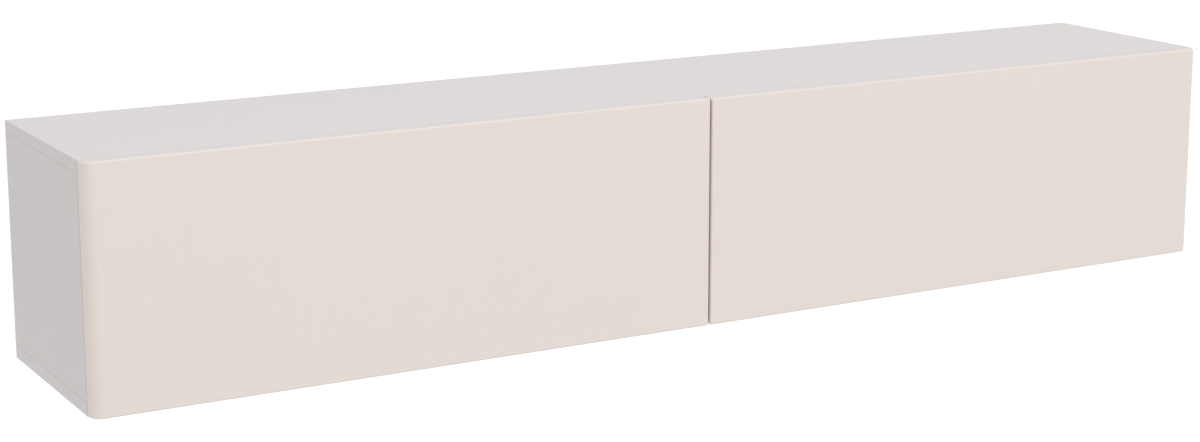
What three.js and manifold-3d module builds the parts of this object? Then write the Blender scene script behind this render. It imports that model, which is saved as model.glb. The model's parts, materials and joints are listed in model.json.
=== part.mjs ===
// Floating media console with two lift-up flaps, hung on a wall rail. Millimetres, +Z up.
// The fronts face -Y, the wall plane is Y = 0, and the origin is the middle of the wall rail's back face.

import * as THREE from 'three';
import { mergeVertices } from 'three/addons/utils/BufferGeometryUtils.js';
import Module from 'manifold-3d';

const wasm = await Module();
wasm.setup();

// Overall sizes
const consoleWidth = 1800;
const consoleHeight = 326;
const consoleDepth = 325;
const topAboveRail = 55;

// Carcass boards
const topThickness = 16;
const bottomThickness = 18;
const sideThickness = 16;
const partitionThickness = 16;
const backThickness = 3;
const backRecess = 20;
const grooveDepth = 7;
const slideClearance = 0.3;
const cutOverrun = 2;

// Cable ways
const cableWayWidth = 160;
const cableWayHeight = 60;
const cableWayCorner = 10;
const cableWayAboveFloor = 30;
const cableNotchWidth = 120;
const cableNotchDepth = 16;

// Fronts
const frontThickness = 18;
const frontGap = 3;
const frontStandoff = 1.5;
const frontEndRadius = 17.5;
const frontEdgeRadius = 2.5;
const frontGapRadius = 3;
const frontArris = 1;

// Cup hinges
const hingeFromFrontEnd = 130;
const cupOuterRadius = 17.2;
const cupWall = 0.8;
const cupDepth = 11;
const cupBoreRadius = 17.5;
const cupBoreDepth = 11.5;
const cupBelowFrontTop = 23;
const cupFlangeThickness = 1;
const cupFlangeRadius = 19.5;
const cupEarSpan = 52;
const cupEarRadius = 7;
const cupNotchDepth = 1.6;
const cupNotchSideGap = 0.5;
const cupPivotDepth = 4.5;
const cupPivotBelowFrontTop = 13;
const armPivotForward = 8;
const armPivotBelowCeiling = 16;
const hingePinRadius = 1.2;
const hingePinHoleRadius = 1.55;
const hingeLinkRadius = 2.6;
const hingeLinkWidth = 7;
const armSideGap = 0.4;
const armCheek = 1.3;
const armWeb = 1.4;
const armLength = 62;
const armWebStart = 6;
const armCheekTopDrop = 3.5;
const plateWidth = 48;
const plateLength = 34;
const plateThickness = 2.5;
const plateSetback = 22;
const plateRailDepth = 9.7;
const plateRailSetback = 14;
const plateRailLength = 46;

// Spring stays
const stayPivotSetback = 18.8;
const stayPivotBelowCeiling = 129;
const stayLeverDrop = 81.6;
const stayLeverLean = 21.2;
const stayPinFromFront = 19;
const stayPinBelowFrontTop = 96;
const stayHousingLength = 112;
const stayHousingHeight = 52;
const stayHousingThickness = 15;
const stayHousingNose = 14;
const stayHousingCorner = 8;
const staySpringRadius = 5.5;
const staySpringLength = 60;
const staySpringSetback = 30;
const stayPlayX = 0.6;
const stayLeverThickness = 4;
const stayLeverRadius = 6.5;
const stayLinkThickness = 4;
const stayLinkRadius = 5;
const stayPinRadius = 2.5;
const stayPinHoleRadius = 2.9;
const stayEarThickness = 3;
const stayBracketWidth = 26;
const stayBracketHeight = 44;
const stayBracketThickness = 2.5;

// Push latches
const latchLength = 76;
const latchWidth = 18;
const latchHeight = 16;
const latchSetback = 2;
const latchBoreRadius = 4.6;
const latchBoreDepth = 60;
const plungerRadius = 4.2;
const plungerLength = 48;
const plungerHeadRadius = 5;
const plungerHeadLength = 2.2;
const strikeRadius = 9;
const strikeThickness = 1;

// Wall rail and hangers
const railThickness = 2;
const railLow = 20;
const railStep = 8;
const railLip = 20;
const railOffset = 7;
const railEndClearance = 1;
const railHoleRadius = 3.5;
const railHoleDrop = 10;
const railHolePitch = 200;
const railHolesPerSide = 4;
const hookThickness = 2.7;
const hookWidth = 14;
const hookWallGap = 1.5;
const hookTopAboveLip = 7;
const hookReach = 32;
const hangerWidth = 22;
const hangerDepth = 44;
const hangerHeight = 46;
const hangerWall = 2;
const hangerBelowCeiling = 2;
const hookSlotClearance = 4;

// Rounding of curves into straight steps
const arcSteps = 6;
const pinSides = 12;
const cupSides = 32;

// Places that follow from the sizes
const halfWidth = consoleWidth / 2;
const topZ = topAboveRail;
const bottomZ = topZ - consoleHeight;
const ceilingZ = topZ - topThickness;
const floorZ = bottomZ + bottomThickness;
const sideInnerX = halfWidth - sideThickness;
const partitionX = partitionThickness / 2;
const compartmentMidX = (sideInnerX + partitionX) / 2;
const frontOuterY = -consoleDepth;
const frontInnerY = frontOuterY + frontThickness;
const carcassFrontY = frontInnerY + frontStandoff;
const backFrontY = -backRecess - backThickness;
const frontTopZ = topZ;
const frontHeight = frontTopZ - bottomZ;
const cupZ = frontTopZ - cupBelowFrontTop;
const cupPivot = [frontInnerY - cupPivotDepth, frontTopZ - cupPivotBelowFrontTop];
const armPivot = [carcassFrontY - armPivotForward, ceilingZ - armPivotBelowCeiling];
const stayPivot = [carcassFrontY + stayPivotSetback, ceilingZ - stayPivotBelowCeiling];
const stayElbow = [stayPivot[0] + stayLeverLean, stayPivot[1] - stayLeverDrop];
const stayPin = [frontInnerY + stayPinFromFront, frontTopZ - stayPinBelowFrontTop];
const hookZ = railLip + hookTopAboveLip;

// Finishes
function finish(color, roughness, metalness) {
  return new THREE.MeshStandardMaterial({ color, roughness, metalness });
}
const carcassBoard = finish(0xdad7d4, 0.55, 0);
const coveredBoard = finish(0xe4dbd3, 0.5, 0);
const backBoard = finish(0xd2cfcb, 0.7, 0);
const zincSteel = finish(0xb9bcc0, 0.35, 1);
const nickelSteel = finish(0xc9c6bf, 0.28, 1);
const greyPlastic = finish(0x8d9092, 0.5, 0);
const darkPlastic = finish(0x3b3d40, 0.55, 0);

const unitX = new THREE.Vector3(1, 0, 0);
const unitY = new THREE.Vector3(0, 1, 0);
const unitZ = new THREE.Vector3(0, 0, 1);

// Closed geometry to a solid that can be cut and joined, and back again
function toSolid(geometry) {
  geometry.deleteAttribute('normal');
  geometry.deleteAttribute('uv');
  const merged = mergeVertices(geometry);
  const vertProperties = merged.attributes.position.array;
  const triVerts = Uint32Array.from(merged.index.array);
  return new wasm.Manifold(new wasm.Mesh({ numProp: 3, vertProperties, triVerts }));
}

function toGeometry(solid) {
  const mesh = solid.getMesh();
  const geometry = new THREE.BufferGeometry();
  geometry.setAttribute('position', new THREE.BufferAttribute(mesh.vertProperties, 3));
  geometry.setIndex(new THREE.BufferAttribute(mesh.triVerts, 1));
  geometry.computeVertexNormals();
  return geometry;
}

// Box between two values on each axis, given in either order
function block(xs, ys, zs) {
  const spans = [xs, ys, zs];
  const size = spans.map(([a, b]) => Math.abs(b - a));
  const middle = spans.map(([a, b]) => (a + b) / 2);
  return toSolid(new THREE.BoxGeometry(...size).translate(...middle));
}

// Round rod between two points
function rod(radius, start, end, sides = pinSides) {
  const from = new THREE.Vector3(...start);
  const to = new THREE.Vector3(...end);
  const along = to.clone().sub(from);
  const geometry = new THREE.CylinderGeometry(radius, radius, along.length(), sides);
  const turn = new THREE.Quaternion().setFromUnitVectors(unitY, along.normalize());
  geometry.applyQuaternion(turn);
  const middle = from.add(to).multiplyScalar(1 / 2);
  return toSolid(geometry.translate(middle.x, middle.y, middle.z));
}

// Outline in Y and Z, carried along X between two values
function alongX(shape, [a, b]) {
  const depth = Math.abs(b - a);
  const geometry = new THREE.ExtrudeGeometry(shape, { depth, bevelEnabled: false, curveSegments: arcSteps });
  geometry.applyMatrix4(new THREE.Matrix4().makeBasis(unitY, unitZ, unitX));
  return toSolid(geometry.translate(Math.min(a, b), 0, 0));
}

// Outline in X and Z, carried along Y between two values
function alongY(shape, [a, b]) {
  const depth = Math.abs(b - a);
  const geometry = new THREE.ExtrudeGeometry(shape, { depth, bevelEnabled: false, curveSegments: arcSteps });
  geometry.applyMatrix4(new THREE.Matrix4().makeBasis(unitX, unitZ, unitY.clone().negate()));
  return toSolid(geometry.translate(0, Math.max(a, b), 0));
}

function polygon(points) {
  return new THREE.Shape(points.map(([u, v]) => new THREE.Vector2(u, v)));
}

// Points of an arc about a centre, both ends included
function arc([u, v], radius, from, to) {
  const steps = Array.from({ length: arcSteps + 1 }, (_, i) => from + ((to - from) * i) / arcSteps);
  return steps.map((angle) => [u + radius * Math.cos(angle), v + radius * Math.sin(angle)]);
}

const quarter = Math.PI / 2;

// Rectangle with round corners
function roundedBox([u0, u1], [v0, v1], radius) {
  return polygon([
    ...arc([u0 + radius, v0 + radius], radius, -2 * quarter, -quarter),
    ...arc([u1 - radius, v0 + radius], radius, -quarter, 0),
    ...arc([u1 - radius, v1 - radius], radius, 0, quarter),
    ...arc([u0 + radius, v1 - radius], radius, quarter, 2 * quarter),
  ]);
}

// Bar with round ends between two points
function barShape(p, q, radius) {
  const lean = Math.atan2(q[1] - p[1], q[0] - p[0]);
  return polygon([
    ...arc(p, radius, lean + quarter, lean + 3 * quarter),
    ...arc(q, radius, lean - quarter, lean + quarter),
  ]);
}

function withHoles(shape, places, radius) {
  for (const [u, v] of places) {
    const hole = new THREE.Path();
    hole.absarc(u, v, radius, 0, 4 * quarter, true);
    shape.holes.push(hole);
  }
  return shape;
}

const model = new THREE.Group();

function piece(name, solid, material) {
  const mesh = new THREE.Mesh(toGeometry(solid), material);
  mesh.name = name;
  model.add(mesh);
}

// Carcass boards, with grooves that hold the back panel
const grooveY = [backFrontY - slideClearance, -backRecess + slideClearance];
const boardY = [carcassFrontY, 0];
const hookColumns = [-1, 1].flatMap((side) => [
  side * (sideInnerX - hangerWidth / 2),
  side * (partitionX + hangerWidth / 2),
]);

function topPanel() {
  const board = block([-halfWidth, halfWidth], boardY, [ceilingZ, topZ]);
  const grooveX = sideInnerX + grooveDepth;
  return board.subtract(block([-grooveX, grooveX], grooveY, [ceilingZ - cutOverrun, ceilingZ + grooveDepth]));
}

function bottomPanel() {
  const grooveX = sideInnerX + grooveDepth;
  let board = block([-halfWidth, halfWidth], boardY, [bottomZ, floorZ]);
  board = board.subtract(block([-grooveX, grooveX], grooveY, [floorZ - grooveDepth, floorZ + cutOverrun]));
  for (const side of [-1, 1]) {
    const notchX = [-1, 1].map((end) => side * compartmentMidX + (end * cableNotchWidth) / 2);
    const notchZ = [bottomZ - cutOverrun, floorZ + cutOverrun];
    board = board.subtract(block(notchX, [-cableNotchDepth, cutOverrun], notchZ));
  }
  return board;
}

function sidePanel(side) {
  const board = block([side * sideInnerX, side * halfWidth], boardY, [floorZ, ceilingZ]);
  const grooveX = [side * (sideInnerX - cutOverrun), side * (sideInnerX + grooveDepth)];
  return board.subtract(block(grooveX, grooveY, [floorZ - cutOverrun, ceilingZ + cutOverrun]));
}

function centrePartition() {
  return block([-partitionX, partitionX], [carcassFrontY, backFrontY - slideClearance], [floorZ, ceilingZ]);
}

function backPanel() {
  const inGroove = grooveDepth - slideClearance;
  const spanX = sideInnerX + inGroove;
  const throughY = [backFrontY - cutOverrun, -backRecess + cutOverrun];
  let board = block([-spanX, spanX], [backFrontY, -backRecess], [floorZ - inGroove, ceilingZ + inGroove]);
  for (const side of [-1, 1]) {
    const wayX = [-1, 1].map((end) => side * compartmentMidX + (end * cableWayWidth) / 2);
    const wayZ = [floorZ + cableWayAboveFloor, floorZ + cableWayAboveFloor + cableWayHeight];
    board = board.subtract(alongY(roundedBox(wayX, wayZ, cableWayCorner), throughY));
  }
  for (const x of hookColumns) {
    const slotX = [x - hookWidth / 2 - hookSlotClearance, x + hookWidth / 2 + hookSlotClearance];
    const slotZ = [hookZ - hookThickness - hookSlotClearance, hookZ + hookSlotClearance];
    board = board.subtract(block(slotX, throughY, slotZ));
  }
  return board;
}

// Wall rail, a stepped strip whose upper lip stands off the wall for the hooks
function wallRail() {
  const outline = polygon([
    [0, -railLow],
    [0, railStep],
    [-railOffset + railThickness, railStep],
    [-railOffset + railThickness, railLip],
    [-railOffset, railLip],
    [-railOffset, railStep - railThickness],
    [-railThickness, railStep - railThickness],
    [-railThickness, -railLow],
  ]);
  const endX = sideInnerX - railEndClearance;
  let rail = alongX(outline, [-endX, endX]);
  for (const side of [-1, 1]) {
    for (let i = 0; i < railHolesPerSide; i += 1) {
      const x = side * (i + 1 / 2) * railHolePitch;
      const [start, end] = [cutOverrun, -railThickness - cutOverrun].map((y) => [x, y, -railHoleDrop]);
      rail = rail.subtract(rod(railHoleRadius, start, end));
    }
  }
  return rail;
}

// Cabinet hangers: a housing in the compartment's upper back corner and a hook that reaches over the rail
function hangerHousing(x) {
  const spanX = [x - hangerWidth / 2, x + hangerWidth / 2];
  const backY = backFrontY - slideClearance;
  const spanY = [backY - hangerDepth, backY];
  const topOfHousing = ceilingZ - hangerBelowCeiling;
  const shell = block(spanX, spanY, [topOfHousing - hangerHeight, topOfHousing]);
  const roomX = [spanX[0] + hangerWall, spanX[1] - hangerWall];
  const roomZ = [topOfHousing - hangerHeight + hangerWall, hookZ + slideClearance];
  return shell.subtract(block(roomX, [spanY[0] + hangerWall, spanY[1] + cutOverrun], roomZ));
}

function hangerHook(x) {
  const clawY = -hookWallGap;
  const tailY = backFrontY - hookReach;
  const outline = polygon([
    [clawY, railStep + slideClearance],
    [clawY, hookZ],
    [tailY, hookZ],
    [tailY, hookZ - hookThickness],
    [clawY - hookThickness, hookZ - hookThickness],
    [clawY - hookThickness, railStep + slideClearance],
  ]);
  return alongX(outline, [x - hookWidth / 2, x + hookWidth / 2]);
}

// Front board: rounded over at its outer end, small radii on the other face edges, bored for two cups
const hingeColumns = (side) => [
  side * (halfWidth - hingeFromFrontEnd),
  side * (frontGap / 2 + hingeFromFrontEnd),
];

function frontBoard(side) {
  const mirror = ([u, v]) => [side * u, v];
  const backY = frontInnerY + frontThickness;
  const gapCentre = [frontGap / 2 + frontGapRadius, frontOuterY + frontGapRadius];
  const endCentre = [halfWidth - frontEndRadius, frontOuterY + frontEndRadius];
  const outline = [
    [frontGap / 2, backY],
    ...arc(gapCentre, frontGapRadius, 2 * quarter, 3 * quarter),
    ...arc(endCentre, frontEndRadius, -quarter, 0),
    [halfWidth, backY],
  ];
  const geometry = new THREE.ExtrudeGeometry(polygon(outline.map(mirror)), {
    depth: frontHeight - 2 * frontEdgeRadius,
    bevelThickness: frontEdgeRadius,
    bevelSize: frontEdgeRadius,
    bevelOffset: -frontEdgeRadius,
    bevelSegments: 3,
  });
  const blank = toSolid(geometry.translate(0, 0, bottomZ + frontEdgeRadius));
  const spanX = [side * frontGap / 2, side * halfWidth];
  let board = blank.intersect(block(spanX, [frontOuterY, frontInnerY], [bottomZ, frontTopZ]));
  const arris = polygon([
    [frontInnerY + cutOverrun, frontTopZ - frontArris - cutOverrun],
    [frontInnerY + cutOverrun, frontTopZ + cutOverrun],
    [frontInnerY - frontArris - cutOverrun, frontTopZ + cutOverrun],
  ]);
  board = board.subtract(alongX(arris, [spanX[0] - side * cutOverrun, spanX[1] + side * cutOverrun]));
  for (const x of hingeColumns(side)) {
    const [mouth, end] = [frontInnerY + cutOverrun, frontInnerY - cupBoreDepth].map((y) => [x, y, cupZ]);
    board = board.subtract(rod(cupBoreRadius, mouth, end, cupSides));
  }
  return board;
}

// Cup hinges; the link passes over the rim through a notch when the flap is open
function hingeCup(x) {
  const flangeY = [frontInnerY, frontInnerY + cupFlangeThickness];
  const earX = cupEarSpan / 2;
  const innerRadius = cupOuterRadius - cupWall;
  const pinHalf = Math.sqrt(innerRadius ** 2 - (cupPivot[1] - cupZ) ** 2) + cupWall / 2;
  const floorY = frontInnerY - cupDepth;
  const body = rod(cupOuterRadius, [x, floorY, cupZ], [x, flangeY[1], cupZ], cupSides);
  const rim = rod(cupFlangeRadius, [x, flangeY[0], cupZ], [x, flangeY[1], cupZ], cupSides);
  const ears = alongY(barShape([x - earX, cupZ], [x + earX, cupZ], cupEarRadius), flangeY);
  const mouth = rod(innerRadius, [x, floorY + cupWall, cupZ], [x, flangeY[1] + cutOverrun, cupZ], cupSides);
  const notchHalf = hingeLinkWidth / 2 + cupNotchSideGap;
  const notchY = [frontInnerY - cupNotchDepth, flangeY[1] + cutOverrun];
  const notchZ = [cupPivot[1], cupZ + cupFlangeRadius + cutOverrun];
  const notch = block([x - notchHalf, x + notchHalf], notchY, notchZ);
  const pin = rod(hingePinRadius, [x - pinHalf, ...cupPivot], [x + pinHalf, ...cupPivot]);
  return body.add(rim).add(ears).subtract(mouth).subtract(notch).add(pin);
}

function hingeLink(x) {
  const bar = barShape(armPivot, cupPivot, hingeLinkRadius);
  const shape = withHoles(bar, [armPivot, cupPivot], hingePinHoleRadius);
  return alongX(shape, [x - hingeLinkWidth / 2, x + hingeLinkWidth / 2]);
}

const armInner = hingeLinkWidth / 2 + armSideGap;
const armOuter = armInner + armCheek;
const plateBottomZ = ceilingZ - plateThickness;
const plateRailBottomZ = plateBottomZ - plateRailDepth;
const armWebTopZ = plateRailBottomZ - armSideGap;
const armBackY = carcassFrontY + armLength;

function hingeArm(x) {
  const webBottomZ = armWebTopZ - armWeb;
  const noseRise = hingeLinkRadius + armPivotForward;
  const cheek = polygon([
    [armBackY, webBottomZ],
    [armPivot[0] + noseRise + armWebStart, webBottomZ],
    ...arc(armPivot, hingeLinkRadius, -quarter / 2, -3 * quarter),
    [armPivot[0] + noseRise, ceilingZ - armCheekTopDrop],
    [armBackY, ceilingZ - armCheekTopDrop],
  ]);
  const webY = [carcassFrontY + armWebStart, armBackY];
  const web = block([x - armOuter, x + armOuter], webY, [webBottomZ, armWebTopZ]);
  const pin = rod(hingePinRadius, [x - armOuter, ...armPivot], [x + armOuter, ...armPivot]);
  return [-1, 1]
    .map((hand) => alongX(cheek, [x + hand * armInner, x + hand * armOuter]))
    .reduce((arm, part) => arm.add(part), web.add(pin));
}

function hingePlate(x) {
  const baseY = [carcassFrontY + plateSetback, carcassFrontY + plateSetback + plateLength];
  const railY = [carcassFrontY + plateRailSetback, carcassFrontY + plateRailSetback + plateRailLength];
  const base = block([x - plateWidth / 2, x + plateWidth / 2], baseY, [plateBottomZ, ceilingZ]);
  const railHalf = hingeLinkWidth / 2;
  const railZ = [plateRailBottomZ, plateBottomZ + plateThickness / 2];
  return base.add(block([x - railHalf, x + railHalf], railY, railZ));
}

// Spring stays, laid out in layers from the board they are fixed to, inwards
const stayLayers = (() => {
  const housing = [0, stayHousingThickness];
  const lever = [housing[1] + stayPlayX, housing[1] + stayPlayX + stayLeverThickness];
  const link = [lever[1] + stayPlayX, lever[1] + stayPlayX + stayLinkThickness];
  const ear = [link[1] + stayPlayX, link[1] + stayPlayX + stayEarThickness];
  return { housing, lever, link, ear };
})();

const layerX = (wallX, inward, span) => span.map((value) => wallX + inward * value);

const springY = stayPivot[0] + staySpringSetback;
const springRoomRadius = staySpringRadius + slideClearance;

function stayHousing(wallX, inward) {
  const spanY = [stayPivot[0] - stayHousingNose, stayPivot[0] - stayHousingNose + stayHousingLength];
  const spanZ = [stayPivot[1] - stayHousingHeight / 2, stayPivot[1] + stayHousingHeight / 2];
  const bodyX = layerX(wallX, inward, stayLayers.housing);
  const pinX = layerX(wallX, inward, [stayHousingThickness / 2, stayLayers.lever[1] + stayPlayX / 2]);
  const roomX = layerX(wallX, inward, [-cutOverrun, stayHousingThickness / 2 + springRoomRadius]);
  const roomY = [springY - slideClearance, springY + staySpringLength + slideClearance];
  const roomZ = [stayPivot[1] - springRoomRadius, stayPivot[1] + springRoomRadius];
  return alongX(roundedBox(spanY, spanZ, stayHousingCorner), bodyX)
    .subtract(block(roomX, roomY, roomZ))
    .add(rod(stayPinRadius, [pinX[0], ...stayPivot], [pinX[1], ...stayPivot]));
}

function staySpring(wallX, inward) {
  const x = wallX + (inward * stayHousingThickness) / 2;
  return rod(staySpringRadius, [x, springY, stayPivot[1]], [x, springY + staySpringLength, stayPivot[1]]);
}

function stayLever(wallX, inward) {
  const pinSpan = [stayLayers.lever[0] + stayLeverThickness / 2, stayLayers.link[1] + stayPlayX / 2];
  const pinX = layerX(wallX, inward, pinSpan);
  const shape = withHoles(barShape(stayPivot, stayElbow, stayLeverRadius), [stayPivot], stayPinHoleRadius);
  return alongX(shape, layerX(wallX, inward, stayLayers.lever))
    .add(rod(stayPinRadius, [pinX[0], ...stayElbow], [pinX[1], ...stayElbow]));
}

function stayLink(wallX, inward) {
  const bar = barShape(stayElbow, stayPin, stayLinkRadius);
  const shape = withHoles(bar, [stayElbow, stayPin], stayPinHoleRadius);
  return alongX(shape, layerX(wallX, inward, stayLayers.link));
}

function stayBracket(wallX, inward) {
  const earX = layerX(wallX, inward, stayLayers.ear);
  const baseX = layerX(wallX, inward, [stayLayers.ear[0], stayLayers.ear[0] + stayBracketWidth]);
  const baseY = [frontInnerY, frontInnerY + stayBracketThickness];
  const baseZ = [stayPin[1] - stayBracketHeight / 2, stayPin[1] + stayBracketHeight / 2];
  const pinX = layerX(wallX, inward, [stayLayers.link[0] - stayPlayX / 2, stayLayers.ear[1]]);
  const ear = barShape([frontInnerY + stayLinkRadius, stayPin[1]], stayPin, stayLinkRadius);
  return block(baseX, baseY, baseZ)
    .add(alongX(ear, earX))
    .add(rod(stayPinRadius, [pinX[0], ...stayPin], [pinX[1], ...stayPin]));
}

// Push latches on the floor of each compartment, and the strike plates they push against
const latchZ = floorZ + latchHeight / 2;
const strikeFaceY = frontInnerY + strikeThickness;
const plungerFrontY = strikeFaceY + slideClearance;

function latchHousing(x) {
  const frontY = carcassFrontY + latchSetback;
  const spanX = [x - latchWidth / 2, x + latchWidth / 2];
  const body = block(spanX, [frontY, frontY + latchLength], [floorZ, floorZ + latchHeight]);
  const [mouth, end] = [frontY - cutOverrun, frontY + latchBoreDepth].map((y) => [x, y, latchZ]);
  return body.subtract(rod(latchBoreRadius, mouth, end));
}

function latchPlunger(x) {
  const headBackY = plungerFrontY + plungerHeadLength;
  const stemY = [headBackY - plungerHeadLength / 2, plungerFrontY + plungerLength];
  const [stemStart, stemEnd] = stemY.map((y) => [x, y, latchZ]);
  const head = rod(plungerHeadRadius, [x, plungerFrontY, latchZ], [x, headBackY, latchZ]);
  return rod(plungerRadius, stemStart, stemEnd).add(head);
}

function strikePlate(x) {
  return rod(strikeRadius, [x, frontInnerY, latchZ], [x, strikeFaceY, latchZ], cupSides);
}

piece('top_panel', topPanel(), carcassBoard);
piece('bottom_panel', bottomPanel(), carcassBoard);
piece('left_side_panel', sidePanel(-1), carcassBoard);
piece('right_side_panel', sidePanel(1), carcassBoard);
piece('centre_partition', centrePartition(), carcassBoard);
piece('back_panel', backPanel(), backBoard);
piece('wall_rail', wallRail(), zincSteel);

const sides = { left: -1, right: 1 };
for (const [hand, side] of Object.entries(sides)) {
  piece(`${hand}_front`, frontBoard(side), coveredBoard);
  const places = ['outer', 'inner'];
  const boards = [[side * sideInnerX, -side], [side * partitionX, side]];
  for (const [i, place] of places.entries()) {
    const name = `${hand}_${place}`;
    const x = hingeColumns(side)[i];
    piece(`${name}_hinge_cup`, hingeCup(x), nickelSteel);
    piece(`${name}_hinge_link`, hingeLink(x), nickelSteel);
    piece(`${name}_hinge_arm`, hingeArm(x), nickelSteel);
    piece(`${name}_hinge_plate`, hingePlate(x), nickelSteel);
    piece(`${name}_stay_housing`, stayHousing(...boards[i]), greyPlastic);
    piece(`${name}_stay_spring`, staySpring(...boards[i]), zincSteel);
    piece(`${name}_stay_lever`, stayLever(...boards[i]), zincSteel);
    piece(`${name}_stay_link`, stayLink(...boards[i]), zincSteel);
    piece(`${name}_stay_bracket`, stayBracket(...boards[i]), zincSteel);
    const hookX = hookColumns[(side + 1) + i];
    piece(`${name}_hanger_housing`, hangerHousing(hookX), greyPlastic);
    piece(`${name}_hanger_hook`, hangerHook(hookX), zincSteel);
  }
  piece(`${hand}_latch_housing`, latchHousing(side * compartmentMidX), greyPlastic);
  piece(`${hand}_latch_plunger`, latchPlunger(side * compartmentMidX), darkPlastic);
  piece(`${hand}_strike_plate`, strikePlate(side * compartmentMidX), zincSteel);
}

export default model;
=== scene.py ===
# Looks for the floating media console: boards, fronts, hardware, finishes, light and camera.
import json
import math

import bpy
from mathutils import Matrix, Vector


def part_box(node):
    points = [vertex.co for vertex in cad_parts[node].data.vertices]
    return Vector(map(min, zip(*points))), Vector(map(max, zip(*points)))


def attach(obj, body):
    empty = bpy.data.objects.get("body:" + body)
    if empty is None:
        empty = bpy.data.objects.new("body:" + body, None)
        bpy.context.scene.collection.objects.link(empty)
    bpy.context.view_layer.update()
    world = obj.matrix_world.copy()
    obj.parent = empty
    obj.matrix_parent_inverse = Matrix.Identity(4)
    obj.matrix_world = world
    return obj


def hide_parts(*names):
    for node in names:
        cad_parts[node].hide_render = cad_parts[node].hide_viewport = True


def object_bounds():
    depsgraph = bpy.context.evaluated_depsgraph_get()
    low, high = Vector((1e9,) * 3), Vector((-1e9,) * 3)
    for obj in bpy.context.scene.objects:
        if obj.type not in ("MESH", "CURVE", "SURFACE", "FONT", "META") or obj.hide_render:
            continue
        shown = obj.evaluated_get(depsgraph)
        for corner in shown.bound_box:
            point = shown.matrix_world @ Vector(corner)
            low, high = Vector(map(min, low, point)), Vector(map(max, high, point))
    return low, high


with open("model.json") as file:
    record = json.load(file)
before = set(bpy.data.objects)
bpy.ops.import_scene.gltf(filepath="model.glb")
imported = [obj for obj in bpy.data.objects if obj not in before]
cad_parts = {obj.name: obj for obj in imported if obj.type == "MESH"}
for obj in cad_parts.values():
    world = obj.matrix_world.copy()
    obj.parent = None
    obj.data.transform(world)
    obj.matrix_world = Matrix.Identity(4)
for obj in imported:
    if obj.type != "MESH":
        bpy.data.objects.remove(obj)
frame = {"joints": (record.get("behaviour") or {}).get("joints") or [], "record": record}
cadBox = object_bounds()
record = frame["record"]
pivots = {joint["name"]: Vector(joint["pos_m"]) for joint in frame["joints"] if "pos_m" in joint}
print("frame loaded")

hands = ("left", "right")
places = ("outer", "inner")
overrun = 0.002  # how far a cutter passes the face it cuts through
fullRound = 0.9995  # share of a half height that a bevel takes to make a round end
tolerance = 0.00001  # places this close together count as one
squareOn = 0.9  # least share of a normal along an axis for a face that looks that way
brokenEdge = 0.0003  # rounding on the edges of pressed and moulded parts
rodSides = 32  # flat faces round a rod for which no other number is given
pinSides = 24  # flat faces round a pin, a stem or a small hole
roundEndSteps = 10  # flats in each quarter of a bar's round end
softenOver = 35  # degrees between two faces whose edge is softened
smoothUpTo = 40  # degrees between two faces that still shade as one surface


# Small tools for working by hand: pick a piece, choose parts of it, shape it
def pickNothing():
    bpy.ops.object.select_all(action="DESELECT")


def pick(piece):
    pickNothing()
    piece.select_set(True)
    bpy.context.view_layer.objects.active = piece


def named(name):
    piece = bpy.context.object
    piece.name = name
    piece.data.name = name
    bpy.ops.object.transform_apply(location=True, rotation=True, scale=True)
    return piece


def block(name, low, high):
    low, high = Vector(low), Vector(high)
    pickNothing()
    bpy.ops.mesh.primitive_cube_add(size=1, location=(low + high) / 2, scale=high - low)
    return named(name)


def rod(name, radius, start, end, sides=rodSides):
    start, end = Vector(start), Vector(end)
    along = end - start
    turn = along.to_track_quat("Z", "Y").to_euler()
    pickNothing()
    bpy.ops.mesh.primitive_cylinder_add(
        vertices=sides, radius=radius, depth=along.length, location=(start + end) / 2, rotation=turn
    )
    return named(name)


# Rod along X through a spot, from one value of X to another
def rodAcross(name, radius, spot, spanX, sides=rodSides):
    start, end = [(x, spot.y, spot.z) for x in spanX]
    return rod(name, radius, start, end, sides)


def startChoice(piece, mode):
    pick(piece)
    bpy.context.tool_settings.mesh_select_mode = mode
    for parts in (piece.data.vertices, piece.data.edges, piece.data.polygons):
        parts.foreach_set("select", [False] * len(parts))


def chooseFaces(piece, test):
    startChoice(piece, (False, False, True))
    for face in piece.data.polygons:
        face.select = test(face.center, face.normal)
    bpy.ops.object.mode_set(mode="EDIT")


def chooseEdges(piece, test):
    startChoice(piece, (False, True, False))
    for edge in piece.data.edges:
        edge.select = test(*(piece.data.vertices[i].co for i in edge.vertices))
    bpy.ops.object.mode_set(mode="EDIT")


def chooseAll(piece):
    chooseFaces(piece, lambda centre, normal: True)


def leaveEdit():
    bpy.ops.object.mode_set(mode="OBJECT")


def near(a, b):
    return abs(a - b) < tolerance


def inside(point, low, high):
    return all(least - tolerance < at < most + tolerance for at, least, most in zip(point, low, high))


# Edge test: both ends lie at a value on an axis
def lyingAt(axis, value):
    return lambda a, b: near(a[axis], value) and near(b[axis], value)


# Edge test: both ends have the same value on an axis
def levelOn(axis):
    return lambda a, b: near(a[axis], b[axis])


# Edge test: the edge runs along an axis
def runningAlong(axis):
    return lambda a, b: all(near(a[i], b[i]) for i in range(3) if i != axis)


# Edge test: two other tests both hold
def both(first, second):
    return lambda a, b: first(a, b) and second(a, b)


def bevelEdges(piece, test, width, steps=2):
    chooseEdges(piece, test)
    bpy.ops.mesh.bevel(offset=width, segments=steps, affect="EDGES")
    leaveEdit()


# A modifier with its settings, applied at once
def modify(piece, kind, **settings):
    pick(piece)
    made = piece.modifiers.new(kind, kind)
    for key, value in settings.items():
        setattr(made, key, value)
    bpy.ops.object.modifier_apply(modifier=made.name)


def soften(piece, width, steps=2):
    limit = math.radians(softenOver)
    modify(piece, "BEVEL", width=width, segments=steps, limit_method="ANGLE", angle_limit=limit)


def combine(piece, other, how="DIFFERENCE"):
    modify(piece, "BOOLEAN", operation=how, solver="EXACT", object=other)
    bpy.data.objects.remove(other)


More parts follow.
